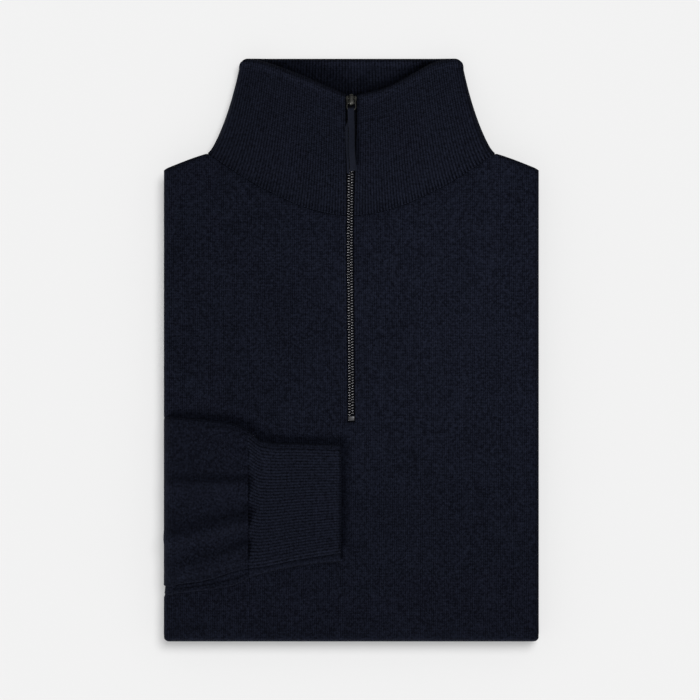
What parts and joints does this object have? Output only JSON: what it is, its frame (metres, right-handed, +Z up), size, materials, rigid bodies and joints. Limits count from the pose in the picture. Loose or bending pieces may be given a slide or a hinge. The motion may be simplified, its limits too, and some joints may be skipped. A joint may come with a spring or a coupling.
{
  "type": "quarter zip sweater, folded",
  "caption": "Quarter zip sweater in fine dark navy knit, folded flat with a sleeve laid over the front, a stand-up rib collar and a cloth zip pull.",
  "frame": {"origin": "under the middle of the folded sweater, on the surface that it lies on", "axes": "+Y towards the collar, +Z up, +X to the right when seen from above with the collar at the top"},
  "size_m": [0.269, 0.4198, 0.0255],
  "materials": {
    "navy_knit": "fine matt jersey knit",
    "navy_rib": "matt rib knit",
    "zip_cloth": "woven tape",
    "dark_metal": "dark gunmetal"
  },
  "bodies": {
    "sweater": {"front_body": "navy_knit", "back_body": "navy_knit", "folded_layers": "navy_knit", "hem_rib": "navy_rib", "collar": "navy_rib", "right_sleeve": "navy_knit", "right_cuff": "navy_rib", "zip_tape": "zip_cloth", "zip_chain": "dark_metal", "zip_stop": "dark_metal", "zip_slider": "dark_metal"},
    "pull": {"pull_ring": "dark_metal", "pull_tab": "zip_cloth"}
  },
  "joints": [
    {"name": "pull_swing", "type": "hinge", "parent": "sweater", "child": "pull", "pos_m": [0, 0.18019, 0.01403], "axis": [-1, 0, 0], "range_deg": [0, 160]}
  ]
}
